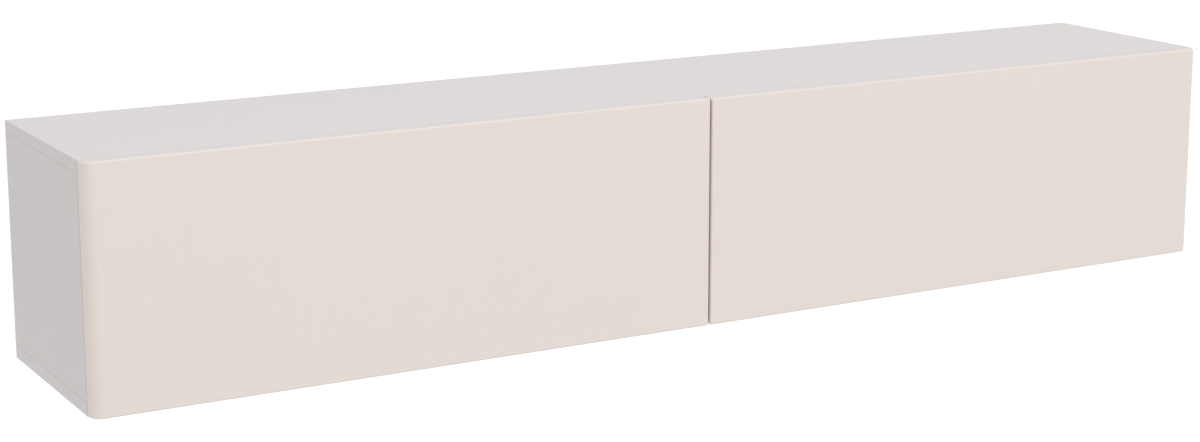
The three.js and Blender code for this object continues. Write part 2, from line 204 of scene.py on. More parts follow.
# Pulls the faces that pass a test out along a way
def pull(piece, test, way):
    chooseFaces(piece, test)
    bpy.ops.mesh.extrude_region_move(TRANSFORM_OT_translate={"value": way})
    leaveEdit()


def mergeClose(piece):
    chooseAll(piece)
    bpy.ops.mesh.remove_doubles(threshold=tolerance)
    leaveEdit()


# Block with its four edges along an axis rounded over
def roundedBlock(name, low, high, axis, radius, steps=8):
    piece = block(name, low, high)
    bevelEdges(piece, runningAlong(axis), radius, steps)
    return piece


# Bar with round ends about two points, its thickness a span of X
def roundBar(name, start, end, radius, spanX):
    along = Vector((0, end[1] - start[1], end[2] - start[2]))
    middle = ((spanX[0] + spanX[1]) / 2, (start[1] + end[1]) / 2, (start[2] + end[2]) / 2)
    lean = (math.atan2(along.z, along.y), 0, 0)
    size = (spanX[1] - spanX[0], along.length + 2 * radius, 2 * radius)
    pickNothing()
    bpy.ops.mesh.primitive_cube_add(size=1, location=middle, rotation=lean, scale=size)
    piece = named(name)
    bevelEdges(piece, runningAlong(0), radius * fullRound, roundEndSteps)
    mergeClose(piece)
    return piece


# A copy with its own mesh, mirrored where the X of a mirror is given, then moved
def copyOf(piece, name, shift, mirrorX):
    pick(piece)
    bpy.ops.object.duplicate()
    made = named(name)
    bpy.ops.object.mode_set(mode="EDIT")
    bpy.ops.mesh.select_all(action="SELECT")
    if mirrorX is not None:
        bpy.ops.transform.resize(value=(-1, 1, 1), center_override=(mirrorX, 0, 0))
        bpy.ops.mesh.normals_make_consistent(inside=False)
    bpy.ops.transform.translate(value=shift)
    leaveEdit()
    return made


# Copies of a small piece made at the origin facing +Z, turned to face a way and joined as one piece
def scatter(master, name, spots, facing, scale=1):
    turn = Vector(facing).to_track_quat("Z", "Y").to_euler()
    made = []
    for spot in spots:
        pick(master)
        bpy.ops.object.duplicate()
        bpy.context.object.location = spot
        bpy.context.object.rotation_euler = turn
        bpy.context.object.scale = (scale, scale, scale)
        made.append(named(name))
    pick(made[0])
    for other in made[1:]:
        other.select_set(True)
    if len(made) > 1:
        bpy.ops.object.join()
    return named(name)


def paint(piece, finish, test=None):
    if test is None:
        piece.data.materials.clear()
    piece.data.materials.append(finish)
    slot = len(piece.data.materials) - 1
    for face in piece.data.polygons:
        if test is None or test(face.center, face.normal):
            face.material_index = slot


# Paint in the slot's own finish where the piece has none yet, smooth shading with flat faces kept flat,
# then the body that the piece moves with
def finished(piece, body, slotName, *replaced):
    if not piece.data.materials:
        paint(piece, finishes[slotName])
    pick(piece)
    bpy.ops.object.shade_smooth_by_angle(angle=math.radians(smoothUpTo))
    modify(piece, "WEIGHTED_NORMAL", keep_sharp=True)
    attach(piece, body)
    if replaced:
        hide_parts(*replaced)


def centreOf(node):
    low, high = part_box(node)
    return (low + high) / 2


# A piece made at the left outer place goes to all four places of the CAD node that it follows, and
# "hand" in its body's name becomes left or right
def spread(piece, tail, follow, body, slotName, mirrored=False, replacing=True):
    start = centreOf(f"left_outer_{follow}")
    for hand in hands:
        for place in places:
            node = f"{hand}_{place}_{follow}"
            facesAway = (hand == "left") != (place == "outer")
            mirrorX = start.x if mirrored and facesAway else None
            made = copyOf(piece, f"{hand}_{place}_{tail}", centreOf(node) - start, mirrorX)
            finished(made, body.replace("hand", hand), slotName, *([node] if replacing else []))
    bpy.data.objects.remove(piece)


# A socket in a material, so that shader maths reads as Python
class Wire:
    def __init__(self, tree, socket=None):
        self.tree = tree
        self.socket = socket

    # Settings go on the node first, then each input gets a value or a link
    def node(self, kind, settings=None, inputs=None, output=0):
        made = self.tree.nodes.new("ShaderNode" + kind)
        for key, value in (settings or {}).items():
            setattr(made, key, value)
        for key, value in (inputs or {}).items():
            if isinstance(value, Wire):
                self.tree.links.new(value.socket, made.inputs[key])
            else:
                made.inputs[key].default_value = value
        return Wire(self.tree, made.outputs[output])

    def maths(self, operation, first, second):
        return self.node("Math", {"operation": operation}, {0: first, 1: second})

    def __add__(self, other):
        return self.maths("ADD", self, other)

    __radd__ = __add__

    def __sub__(self, other):
        return self.maths("SUBTRACT", self, other)

    def __rsub__(self, other):
        return self.maths("SUBTRACT", other, self)

    def __mul__(self, other):
        return self.maths("MULTIPLY", self, other)

    __rmul__ = __mul__

    # Colour mixed by this value, from the first colour to the second
    def between(self, first, second):
        inputs = {0: self, 6: (*first, 1), 7: (*second, 1)}
        return self.node("Mix", {"data_type": "RGBA"}, inputs, output=2)


# A material with its shader's fixed values, and its Object coordinates
def startMaterial(name, fixed):
    material = bpy.data.materials.new(name)
    material.use_nodes = True
    tree = material.node_tree
    shader = tree.nodes["Principled BSDF"]
    for key, value in fixed.items():
        shader.inputs[key].default_value = value
    coords = Wire(tree, tree.nodes.new("ShaderNodeTexCoord").outputs["Object"])
    return material, shader, coords


def connect(shader, wires):
    for key, wire in wires.items():
        wire.tree.links.new(wire.socket, shader.inputs[key])


def noise(coords, perMetre, detail=2):
    return coords.node("TexNoise", inputs={"Vector": coords, "Scale": perMetre, "Detail": detail})


def stretched(coords, scale):
    return coords.node("VectorMath", {"operation": "MULTIPLY"}, {0: coords, 1: scale})


# Relief in metres, laid over another relief where one is given
def bump(height, depth, under=None):
    inputs = {"Height": height, "Distance": depth, "Strength": 1}
    if under is not None:
        inputs["Normal"] = under
    return height.node("Bump", inputs=inputs)


# The first pattern takes a share of the mix and the second the rest
def mixed(first, second, share):
    return first * share + second * (1 - share)


# A display colour, 0 to 255, as the linear light that a shader takes
def linear(red, green, blue):
    return tuple(((c / 255 + 0.055) / 1.055) ** 2.4 for c in (red, green, blue))


# A darker and a lighter tone, the same share either side of a colour
def tonesAbout(tone, share):
    return [tuple(c * (1 + change) for c in tone) for change in (-share, share)]


# Covered boards: a broad mottle, a fine print and a shallow orange peel
cover = {
    "mottle": 0.014,
    "mottlePerMetre": 5,
    "mottleShare": 0.6,
    "printPerMetre": 1900,
    "peelPerMetre": 320,
    "roughByMottle": 0.05,
    "roughByPrint": 0.04,
    "specular": 0.42,
}


def coveredBoard(name, tone, roughness, peelDepth, printDepth):
    material, shader, coords = startMaterial(name, {"Specular IOR Level": cover["specular"]})
    mottle = noise(coords, cover["mottlePerMetre"], detail=3)
    finePrint = noise(coords, cover["printPerMetre"])
    tones = tonesAbout(tone, cover["mottle"])
    relief = bump(noise(coords, cover["peelPerMetre"]), peelDepth, bump(finePrint, printDepth))
    wires = {
        "Base Color": mixed(mottle, finePrint, cover["mottleShare"]).between(*tones),
        "Roughness": mottle * cover["roughByMottle"] + finePrint * cover["roughByPrint"] + roughness,
        "Normal": relief,
    }
    connect(shader, wires)
    return material


# Raw cores: chipboard at the back edges, in the grooves, bores and cable notches, and fibreboard at
# the cut edges of the back panel
chip = {
    "flakesPerMetre": 1000,
    "flakeStretch": (0.45, 1, 1),
    "flakeShare": 0.7,
    "fibresPerMetre": 3000,
    "relief": 0.0002,
    "roughness": 0.8,
    "tones": (linear(146, 115, 82), linear(216, 192, 157)),
}
fibre = {
    "perMetre": 900,
    "stretch": (1, 6, 1),
    "relief": 0.00015,
    "roughness": 0.82,
    "tones": (linear(118, 86, 58), linear(168, 130, 92)),
}
raw = {"specular": 0.2, "roughByFibres": 0.1}


def chipboard():
    material, shader, coords = startMaterial("chipboard_core", {"Specular IOR Level": raw["specular"]})
    flat = stretched(coords, chip["flakeStretch"])
    cells = {"Vector": flat, "Scale": chip["flakesPerMetre"]}
    flakes = coords.node("TexVoronoi", {"feature": "F1"}, cells, output=1)
    shade = coords.node("SeparateColor", inputs={0: flakes})
    fibres = noise(coords, chip["fibresPerMetre"], detail=3)
    body = mixed(shade, fibres, chip["flakeShare"])
    wires = {
        "Base Color": body.between(*chip["tones"]),
        "Roughness": fibres * raw["roughByFibres"] + chip["roughness"],
        "Normal": bump(body, chip["relief"]),
    }
    connect(shader, wires)
    return material


def fibreboard():
    material, shader, coords = startMaterial("fibreboard_core", {"Specular IOR Level": raw["specular"]})
    fibres = noise(stretched(coords, fibre["stretch"]), fibre["perMetre"], detail=4)
    wires = {
        "Base Color": fibres.between(*fibre["tones"]),
        "Roughness": fibres * raw["roughByFibres"] + fibre["roughness"],
        "Normal": bump(fibres, fibre["relief"]),
    }
    connect(shader, wires)
    return material


# Plated steel: cloudy plate with drawing marks, whose number per metre is given for each axis
steel = {
    "cloudPerMetre": 55,
    "cloudShare": 0.7,
    "roughByCloud": 0.1,
    "roughByMarks": 0.08,
    "markDepth": 0.00001,
}


def platedSteel(name, tones, roughness, marksPerMetre):
    material, shader, coords = startMaterial(name, {"Metallic": 1})
    cloud = noise(coords, steel["cloudPerMetre"], detail=3)
    marks = noise(stretched(coords, marksPerMetre), 1)
    wires = {
        "Base Color": mixed(cloud, marks, steel["cloudShare"]).between(*tones),
        "Roughness": cloud * steel["roughByCloud"] + marks * steel["roughByMarks"] + roughness,
        "Normal": bump(marks, steel["markDepth"]),
    }
    connect(shader, wires)
    return material


# Moulded plastic: even colour with a faint swirl, and a spark-eroded grain
plastic = {"swirl": 0.05, "swirlPerMetre": 30, "swirlShare": 0.7, "roughByGrain": 0.12, "specular": 0.45}


def mouldedPlastic(name, tone, roughness, grainPerMetre, grainDepth):
    material, shader, coords = startMaterial(name, {"Specular IOR Level": plastic["specular"]})
    swirl = noise(coords, plastic["swirlPerMetre"], detail=3)
    grain = noise(coords, grainPerMetre)
    tones = tonesAbout(tone, plastic["swirl"])
    wires = {
        "Base Color": mixed(swirl, grain, plastic["swirlShare"]).between(*tones),
        "Roughness": grain * plastic["roughByGrain"] + roughness,
        "Normal": bump(grain, grainDepth),
    }
    connect(shader, wires)
    return material


zincTones = (linear(176, 180, 185), linear(205, 207, 209))
nickelTones = (linear(190, 186, 178), linear(214, 210, 202))
# Named for the slots they fill, and four more. Boards: colour, roughness, depth of peel and of print.
# Steels: two tones, roughness, marks. Plastics: colour, roughness, grains per metre and their depth.
finishes = {
    "carcass_board": coveredBoard("melamine_board", linear(213, 208, 207), 0.46, 0.00001, 0.00002),
    # The edge band tone also goes on the fronts' flat top and bottom faces, as painted light there
    "edge_band_and_painted_light": coveredBoard("edge_band_and_painted_light", linear(212, 207, 206), 0.42, 0.00001, 0.00001),
    "front_board": coveredBoard("foil_front", linear(229, 219, 212), 0.4, 0.00002, 0.00001),
    "back_board": coveredBoard("lacquered_back", linear(208, 205, 203), 0.55, 0.00003, 0.00002),
    "chipboard": chipboard(),
    "fibreboard": fibreboard(),
    "zinc_steel": platedSteel("zinc_plate", zincTones, 0.3, (60, 60, 2400)),
    "nickel_steel": platedSteel("nickel_plate", nickelTones, 0.2, (2400, 60, 60)),
    "grey_plastic": mouldedPlastic("grey_plastic", linear(150, 153, 155), 0.42, 1500, 0.00003),
    "dark_plastic": mouldedPlastic("dark_plastic", linear(62, 64, 68), 0.4, 1800, 0.00002),
    "clear_silicone": mouldedPlastic("clear_silicone", linear(224, 224, 220), 0.25, 400, 0.00001),
}
print("finishes made")


# Camera, fitted to the console's corners in the 1200 by 442 picture
camera = {
    "place": (-1.779, -3.140, 0.648),
    "yaw": 29.62,
    "pitch": 11.58,
    "lens": 72.98,
    "sensor": 36,
    "shift": -0.05,
}
turn = (math.radians(90 - camera["pitch"]), 0, math.radians(-camera["yaw"]))
bpy.ops.object.camera_add(location=camera["place"], rotation=turn)
bpy.context.scene.camera = bpy.context.object
bpy.context.object.data.sensor_width = camera["sensor"]
bpy.context.object.data.lens = camera["lens"]
bpy.context.object.data.shift_y = camera["shift"]

# Light: a pale surround, a little weaker to the sides, one broad soft lamp in front and above, and a
# pale floor well below the wall-hung console
light = {
    "surround": 0.86,
    "sideFall": 0.17,
    "lampPlace": (0.3, -3.4, 4.05),
    "lampSize": 3.0,
    "lampPower": 82,
    "floorBelow": 0.52,
    "floorSize": 90,
    "floorThick": 0.02,
    "floorTone": 0.8,
    "floorRoughness": 0.9,
    "floorLift": 0.35,
}


def makeLamp():
    place = Vector(light["lampPlace"])
    middle = (cadBox[0] + cadBox[1]) / 2
    aim = (middle - place).to_track_quat("-Z", "Y").to_euler()
    bpy.ops.object.light_add(type="AREA", location=place, rotation=aim)
    bpy.context.object.data.size = light["lampSize"]
    bpy.context.object.data.energy = light["lampPower"]


# One where the camera, a mirror or glass sees it, and nought elsewhere
def seenDirectly(start):
    path = start.tree.nodes.new("ShaderNodeLightPath")
    rays = [Wire(start.tree, path.outputs[f"Is {kind} Ray"]) for kind in ("Camera", "Glossy", "Transmission")]
    return start.maths("MAXIMUM", start.maths("MAXIMUM", rays[0], rays[1]), rays[2])


def makeWorld():
    world = bpy.data.worlds.new("surround")
    bpy.context.scene.world = world
    world.use_nodes = True
    background = world.node_tree.nodes["Background"]
    start = Wire(world.node_tree)
    seen = seenDirectly(start)
    direction = start.node("TexCoord")
    across = direction.node("SeparateXYZ", inputs={0: direction})
    around = light["surround"] * (1 - light["sideFall"] * (across * across))
    strength = seen + (1 - seen) * around
    world.node_tree.links.new(strength.socket, background.inputs["Strength"])
    background.inputs["Color"].default_value = (1, 1, 1, 1)


def makeFloor():
    tone, lift, roughness = light["floorTone"], light["floorLift"], light["floorRoughness"]
    fixed = {"Base Color": (tone, tone, tone, 1), "Roughness": roughness, "Emission Strength": 1}
    material, shader, coords = startMaterial("pale_floor", fixed)
    connect(shader, {"Emission Color": seenDirectly(coords).between((0, 0, 0), (lift, lift, lift))})
    half = light["floorSize"] / 2
    top = cadBox[0].z - light["floorBelow"]
    floor = block("floor", (-half, -half, top - light["floorThick"]), (half, half, top))
    floor.data.materials.append(material)


makeLamp()
makeWorld()
makeFloor()
bpy.context.scene.view_settings.view_transform = "Standard"
print("camera, light and floor made")


# Boards: melamine faces, edge band on the edges that show, raw core behind
board = {
    "band": 0.001,
    "bandCorner": 0.0008,
    "corner": 0.0002,
    "seam": 0.0005,
    "groovePlay": 0.0003,
    "rawFacing": 0.7,
}
bandSides = {"front": (1, -1), "left": (0, -1), "right": (0, 1)}


def grooveCut():
    low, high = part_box("back_panel")
    play = Vector((board["groovePlay"],) * 3)
    return low - play, high + play


# A core cut back at its banded edges, and a strip of edge band on each of those; a face at the seam
# value of X is chamfered where it meets the panels above and below
def makeBoard(name, banded, cuts=(), seamX=None):
    low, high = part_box(name)
    for side in banded:
        axis, end = bandSides[side]
        strip = [low.copy(), high.copy()]
        outer, inner = strip if end < 0 else reversed(strip)
        inner[axis] = outer[axis] - end * board["band"]
        (low if end < 0 else high)[axis] = inner[axis]
        band = block(f"{name}_{side}_band", *strip)
        soften(band, board["bandCorner"], steps=3)
        paint(band, finishes["edge_band_and_painted_light"])
        finished(band, "carcass", "carcass_board")
    core = block(name + "_board", low, high)
    if seamX is not None:
        bevelEdges(core, both(lyingAt(0, seamX), runningAlong(1)), board["seam"], steps=1)
    soften(core, board["corner"], steps=1)
    cuts = [grooveCut(), *cuts]
    for cutLow, cutHigh in cuts:
        combine(core, block("cutter", cutLow, cutHigh))

    # The back edge with its small bevels, and what was cut, show the raw core
    def isRaw(centre, normal):
        return normal.y > board["rawFacing"] or any(inside(centre, *cut) for cut in cuts)

    paint(core, finishes["carcass_board"])
    paint(core, finishes["chipboard"], isRaw)
    finished(core, "carcass", "carcass_board", name)


# Openings in the record are held clear of the solids by a margin
openings = {}
for opening in record["physics"]["openings"]:
    openings[opening["name"]] = [Vector(corner) for corner in opening["box_m"]]
cableNotch = {"margin": 0.002, "depth": 0.016}


def notchCut(hand):
    low, high = openings[hand + "_cable_notch"]
    boardLow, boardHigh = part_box("bottom_panel")
    margin = cableNotch["margin"]
    return (
        Vector((low.x - margin, -cableNotch["depth"], boardLow.z - overrun)),
        Vector((high.x + margin, overrun, boardHigh.z + overrun)),
    )


makeBoard("top_panel", ("front", "left", "right"))
makeBoard("bottom_panel", ("front", "left", "right"), [notchCut(hand) for hand in hands])
makeBoard("left_side_panel", ("front",), seamX=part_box("left_side_panel")[0].x)
makeBoard("right_side_panel", ("front",), seamX=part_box("right_side_panel")[1].x)
makeBoard("centre_partition", ("front",))
print("carcass boards made")


# Fronts: outer end rounded over, small radii on the other face edges, bored for the hinge cups; their flat
# top and bottom faces get the cooler edge band tone as painted light
front = {
    "endRadius": 0.0175,
    "endSteps": 18,
    "gapRadius": 0.003,
    "gapSteps": 6,
    "edgeRadius": 0.0025,
    "edgeSteps": 5,
    "arris": 0.001,
    "paintedLightFacing": 0.98,
}
bore = {"radius": 0.0175, "depth": 0.0115, "sides": 64}


def makeFront(hand):
    low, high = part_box(hand + "_front")
    outerX, innerX = (low.x, high.x) if hand == "left" else (high.x, low.x)
    piece = block(hand + "_front_panel", low, high)

    def isRim(a, b):
        return near(a.z, b.z) and not lyingAt(1, high.y)(a, b)

    onFace = lyingAt(1, low.y)
    bevelEdges(piece, both(onFace, lyingAt(0, outerX)), front["endRadius"], front["endSteps"])
    bevelEdges(piece, both(onFace, lyingAt(0, innerX)), front["gapRadius"], front["gapSteps"])
    bevelEdges(piece, isRim, front["edgeRadius"], front["edgeSteps"])
    bevelEdges(piece, both(lyingAt(1, high.y), lyingAt(2, high.z)), front["arris"], steps=1)
    bores = []
    for place in places:
        cup = centreOf(f"{hand}_{place}_hinge_cup")
        mouth, end = (cup.x, high.y + overrun, cup.z), (cup.x, high.y - bore["depth"], cup.z)
        combine(piece, rod("bore", bore["radius"], mouth, end, bore["sides"]))
        around = Vector((bore["radius"], 0, bore["radius"]))
        bores.append((Vector(end) - around, Vector((cup.x, high.y - overrun, cup.z)) + around))

    def isBore(centre, normal):
        return any(inside(centre, *box) for box in bores)

    paint(piece, finishes["front_board"])
    # Flat top and bottom faces in the cooler edge band tone: painted light, standing in for upward faces
    # looking cooler under overhead light than the warm forward faces
    paint(piece, finishes["edge_band_and_painted_light"], lambda centre, normal: abs(normal.z) > front["paintedLightFacing"])
    paint(piece, finishes["chipboard"], isBore)
    finished(piece, hand + "_flap", "front_board", hand + "_front")


for hand in hands:
    makeFront(hand)
print("fronts made")


# Round head at the origin with its upper edge eased and a cross cut in its top, for screws and cams
def makeCrossHead(name, values):
    top = values["top"]
    head = rod(name, values["radius"], (0, 0, values["foot"]), (0, 0, top), values["sides"])
    bevelEdges(head, lyingAt(2, top), values["round"], values["roundSteps"])
    long, wide = values["crossLong"] / 2, values["crossWide"] / 2
    for half in ((long, wide), (wide, long)):
        low = (-half[0], -half[1], top - values["crossDeep"])
        combine(head, block("cross", low, (*half, top + overrun)))
    return head


# Screw head, made once and copied to each place
screw = {
    "radius": 0.0034,
    "foot": 0,
    "top": 0.0016,
    "round": 0.0007,
    "roundSteps": 3,
    "sides": 24,
    "crossLong": 0.0042,
    "crossWide": 0.0009,
    "crossDeep": 0.0011,
}
screwHead = makeCrossHead("screw_head", screw)


def screwsAt(name, spots, facing, scale=1):
    return scatter(screwHead, name, spots, facing, scale)


# Back panel: thin lacquered fibreboard with cable ways and slots for the hanger hooks
backPanel = {"wayMargin": 0.004, "wayCorner": 0.010, "slotPlay": 0.004, "cutFacing": 0.5}
wayTrim = {"lip": 0.0035, "thick": 0.0012, "wall": 0.0008, "roundShare": 0.6}
hook = {"thick": 0.0027, "bend": 0.0022, "tip": 0.0009}


def wayBox(hand, grow=0):
    low, high = openings[hand + "_cable_way"]
    panelLow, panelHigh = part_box("back_panel")
    margin = Vector((backPanel["wayMargin"] + grow, 0, backPanel["wayMargin"] + grow))
    low, high = low - margin, high + margin
    low.y, high.y = panelLow.y - overrun, panelHigh.y + overrun
    return low, high


def makeBackPanel():
    low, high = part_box("back_panel")
    panel = block("back_panel_sheet", low, high)
    play = backPanel["slotPlay"]
    for hand in hands:
        combine(panel, roundedBlock("way", *wayBox(hand), 1, backPanel["wayCorner"]))
        for place in places:
            hookLow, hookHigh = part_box(f"{hand}_{place}_hanger_hook")
            slotLow = (hookLow.x - play, low.y - overrun, hookHigh.z - hook["thick"] - play)
            combine(panel, block("slot", slotLow, (hookHigh.x + play, high.y + overrun, hookHigh.z + play)))
    paint(panel, finishes["back_board"])
    paint(panel, finishes["fibreboard"], lambda centre, normal: abs(normal.y) < backPanel["cutFacing"])
    finished(panel, "carcass", "back_board", "back_panel")


# Plastic trim round each cable way: a lip on the compartment side and a thin collar through the panel
def makeWayTrim(hand):
    low, high = wayBox(hand, wayTrim["lip"])
    panelLow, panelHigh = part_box("back_panel")
    low.y, high.y = panelLow.y - wayTrim["thick"], panelLow.y
    trim = roundedBlock(hand + "_cable_way_trim", low, high, 1, backPanel["wayCorner"] + wayTrim["lip"])
    bevelEdges(trim, lyingAt(1, low.y), wayTrim["thick"] * wayTrim["roundShare"], steps=3)
    collarLow, collarHigh = wayBox(hand)
    collarLow.y, collarHigh.y = low.y + wayTrim["thick"] / 2, panelHigh.y
    combine(trim, roundedBlock("collar", collarLow, collarHigh, 1, backPanel["wayCorner"]), "UNION")
    cutLow, cutHigh = wayBox(hand, -wayTrim["wall"])
    combine(trim, roundedBlock("mouth", cutLow, cutHigh, 1, backPanel["wayCorner"] - wayTrim["wall"]))
    finished(trim, "carcass", "grey_plastic")


makeBackPanel()
for hand in hands:
    makeWayTrim(hand)
print("back panel made")


# Wall rail: one strip of sheet folded twice, screwed to the wall through eight holes
rail = {
    "thick": 0.002,
    "stepUp": 0.007,
    "bend": 0.0016,
    "hole": 0.0035,
    "holeDrop": 0.010,
    "holePitch": 0.2,
    "holesPerSide": 4,
}
washer = {"radius": 0.0075, "thick": 0.0012, "screwScale": 1.55}


# Middles of the rail's holes, at a value of Y
def railHoles(y):
    steps = range(rail["holesPerSide"])
    alongX = [side * (i + 0.5) * rail["holePitch"] for side in (-1, 1) for i in steps]
    return [(x, y, -rail["holeDrop"]) for x in alongX]


def makeRail():
    low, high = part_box("wall_rail")
    wallY = high.y - rail["thick"] / 2
    lipY = low.y + rail["thick"] / 2
    middle = (0, wallY, (low.z + rail["stepUp"]) / 2)
    pickNothing()
    bpy.ops.mesh.primitive_plane_add(size=1, location=middle, rotation=(math.pi / 2, 0, 0))
    bpy.context.object.scale = (high.x - low.x, rail["stepUp"] - low.z, 1)
    strip = named("wall_rail_strip")
    chooseEdges(strip, lyingAt(2, rail["stepUp"]))
    bpy.ops.mesh.extrude_region_move(TRANSFORM_OT_translate={"value": (0, lipY - wallY, 0)})
    bpy.ops.mesh.extrude_region_move(TRANSFORM_OT_translate={"value": (0, 0, high.z - rail["stepUp"])})
    leaveEdit()
    bevelEdges(strip, both(lyingAt(2, rail["stepUp"]), levelOn(1)), rail["bend"], steps=5)
    modify(strip, "SOLIDIFY", thickness=rail["thick"], offset=0)
    chooseAll(strip)
    bpy.ops.mesh.normals_make_consistent(inside=False)
    leaveEdit()
    for x, y, z in railHoles(low.y):
        combine(strip, rod("hole", rail["hole"], (x, y, z), (x, overrun, z), pinSides))
    finished(strip, "carcass", "zinc_steel", "wall_rail")


def makeWallScrews():
    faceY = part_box("wall_rail")[1].y - rail["thick"]
    disc = rod("washer", washer["radius"], (0, 0, 0), (0, 0, washer["thick"]))
    soften(disc, washer["thick"] / 4)
    washers = scatter(disc, "wall_screw_washers", railHoles(faceY), (0, -1, 0))
    bpy.data.objects.remove(disc)
    finished(washers, "carcass", "zinc_steel")
    onWashers = railHoles(faceY - washer["thick"])
    heads = screwsAt("wall_screws", onWashers, (0, -1, 0), washer["screwScale"])
    finished(heads, "carcass", "zinc_steel")


makeRail()
makeWallScrews()


# Cabinet hangers: a moulded case open at the back, and a hook that reaches over the rail
hanger = {
    "wall": 0.002,
    "round": 0.0025,
    "accessRadius": 0.004,
    "accessRise": (0.013, 0.033),
    "screwBack": 0.004,
    "stemRadius": 0.003,
}


def makeHangerCase():
    low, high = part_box("left_outer_hanger_housing")
    x = (low.x + high.x) / 2
    wall = Vector((hanger["wall"],) * 3)
    case = block("case", low, high)
    bevelEdges(case, lyingAt(1, low.y), hanger["round"], steps=4)
    room = block("room", low + wall, (high.x - wall.x, high.y + overrun, high.z - wall.z))
    combine(case, room)
    spots = [(x, low.y, low.z + rise) for rise in hanger["accessRise"]]
    for spot in spots:
        end = (spot[0], low.y + 2 * wall.y, spot[2])
        combine(case, rod("access", hanger["accessRadius"], (spot[0], low.y - overrun, spot[2]), end))
    spread(case, "hanger_case", "hanger_housing", "carcass", "grey_plastic")
    deep = [(spot[0], low.y + hanger["screwBack"], spot[2]) for spot in spots]
    screws = screwsAt("screws", deep, (0, -1, 0))
    stemEnd = high.y - wall.y
    for spot in deep:
        end = (spot[0], stemEnd, spot[2])
        combine(screws, rod("stem", hanger["stemRadius"], spot, end, pinSides), "UNION")
    spread(screws, "hanger_screws", "hanger_housing", "carcass", "zinc_steel", replacing=False)


def makeHook():
    low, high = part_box("left_outer_hanger_hook")
    corner = (low.x, high.y - hook["thick"], high.z - hook["thick"])
    strap = block("strap", corner, high)

    def isBackUnderside(centre, normal):
        return normal.z < -squareOn and centre.y > corner[1]

    pull(strap, lambda centre, normal: normal.y < -squareOn, (0, low.y - corner[1], 0))
    pull(strap, isBackUnderside, (0, 0, low.z - corner[2]))
    bevelEdges(strap, both(lyingAt(1, high.y), lyingAt(2, high.z)), hook["bend"], steps=6)
    bevelEdges(strap, both(lyingAt(2, low.z), levelOn(1)), hook["tip"], steps=3)
    soften(strap, brokenEdge)
    spread(strap, "hook_strap", "hanger_hook", "carcass", "zinc_steel")


makeHangerCase()
makeHook()
print("rail and hangers made")


# Cup hinges: pressed cup in the front, one link, a channel-shaped arm and its mounting plate
cup = {
    "radius": 0.0172,
    "rim": 0.0195,
    "wall": 0.0008,
    "round": 0.0022,
    "ear": 0.007,
    "notchHalf": 0.004,
    "notchDeep": 0.0016,
    "edge": 0.0002,
    "sides": 64,
}
link = {"radius": 0.0026, "windowHalf": 0.0017, "windowRadius": 0.004, "solidEnd": 0.0036}
arm = {
    "cheek": 0.0013,
    "web": 0.0014,
    "noseLong": 0.0132,
    "noseRadius": 0.0025,
    "webRise": 0.0046,
    "webStart": 0.0034,
}
armScrews = {"backFromEnd": 0.009, "frontFromEnd": 0.040, "backScale": 1.05, "frontScale": 0.7}
plate = {
    "thick": 0.0025,
    "corner": 0.006,
    "railHalf": 0.0035,
    "railFront": 0.008,
    "railBack": 0.004,
    "railRound": 0.0008,
    "screwFromEnd": 0.008,
    "screwScale": 1.1,
}
hingePin = {"radius": 0.0012, "rivetRadius": 0.0019, "rivetProud": 0.0003}


def makeHingeCup():
    low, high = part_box("left_outer_hinge_cup")
    centre = centreOf("left_outer_hinge_cup")
    x, z = centre.x, centre.z
    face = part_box("left_front")[1].y
    pin = pivots["left_flap_hinge"]
    shell = rod("shell", cup["radius"], (x, low.y, z), (x, high.y, z), cup["sides"])
    bevelEdges(shell, lyingAt(1, low.y), cup["round"], steps=5)
    combine(shell, rod("rim", cup["rim"], (x, face, z), (x, high.y, z), cup["sides"]), "UNION")
    earLow, earHigh = (low.x, face, z - cup["ear"]), (high.x, high.y, z + cup["ear"])
    ears = roundedBlock("ears", earLow, earHigh, 1, cup["ear"] * fullRound)
    mergeClose(ears)
    combine(shell, ears, "UNION")
    inner = cup["radius"] - cup["wall"]
    mouth = rod("mouth", inner, (x, low.y + cup["wall"], z), (x, high.y + overrun, z), cup["sides"])
    bevelEdges(mouth, lyingAt(1, low.y + cup["wall"]), cup["round"] - cup["wall"], steps=5)
    combine(shell, mouth)
    notchLow = (x - cup["notchHalf"], face - cup["notchDeep"], pin.z)
    combine(shell, block("notch", notchLow, (x + cup["notchHalf"], high.y + overrun, high.z + overrun)))
    soften(shell, cup["edge"], steps=1)
    half = math.sqrt(inner**2 - (pin.z - z) ** 2) + cup["wall"] / 2
    span = (x - half, x + half)
    combine(shell, rodAcross("pin", hingePin["radius"], pin, span, pinSides), "UNION")
    spread(shell, "cup_shell", "hinge_cup", "hand_flap", "nickel_steel")
    spots = [(earX, high.y, z) for earX in (low.x + cup["ear"], high.x - cup["ear"])]
    screws = screwsAt("screws", spots, (0, 1, 0))
    spread(screws, "cup_screws", "hinge_cup", "hand_flap", "nickel_steel", replacing=False)


def makeHingeLink():
    low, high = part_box("left_outer_hinge_link")
    start, end = pivots["left_hinge_link_pivot"], pivots["left_flap_hinge"]
    bar = roundBar("bar", start, end, link["radius"], (low.x, high.x))
    soften(bar, brokenEdge)
    middle = (low.x + high.x) / 2
    along = (end - start) / (end - start).length
    inset = along * (link["solidEnd"] + link["windowRadius"])
    window = (middle - link["windowHalf"], middle + link["windowHalf"])
    combine(bar, roundBar("window", start + inset, end - inset, link["windowRadius"], window))
    spread(bar, "link_bar", "hinge_link", "hand_hinge_links", "nickel_steel")


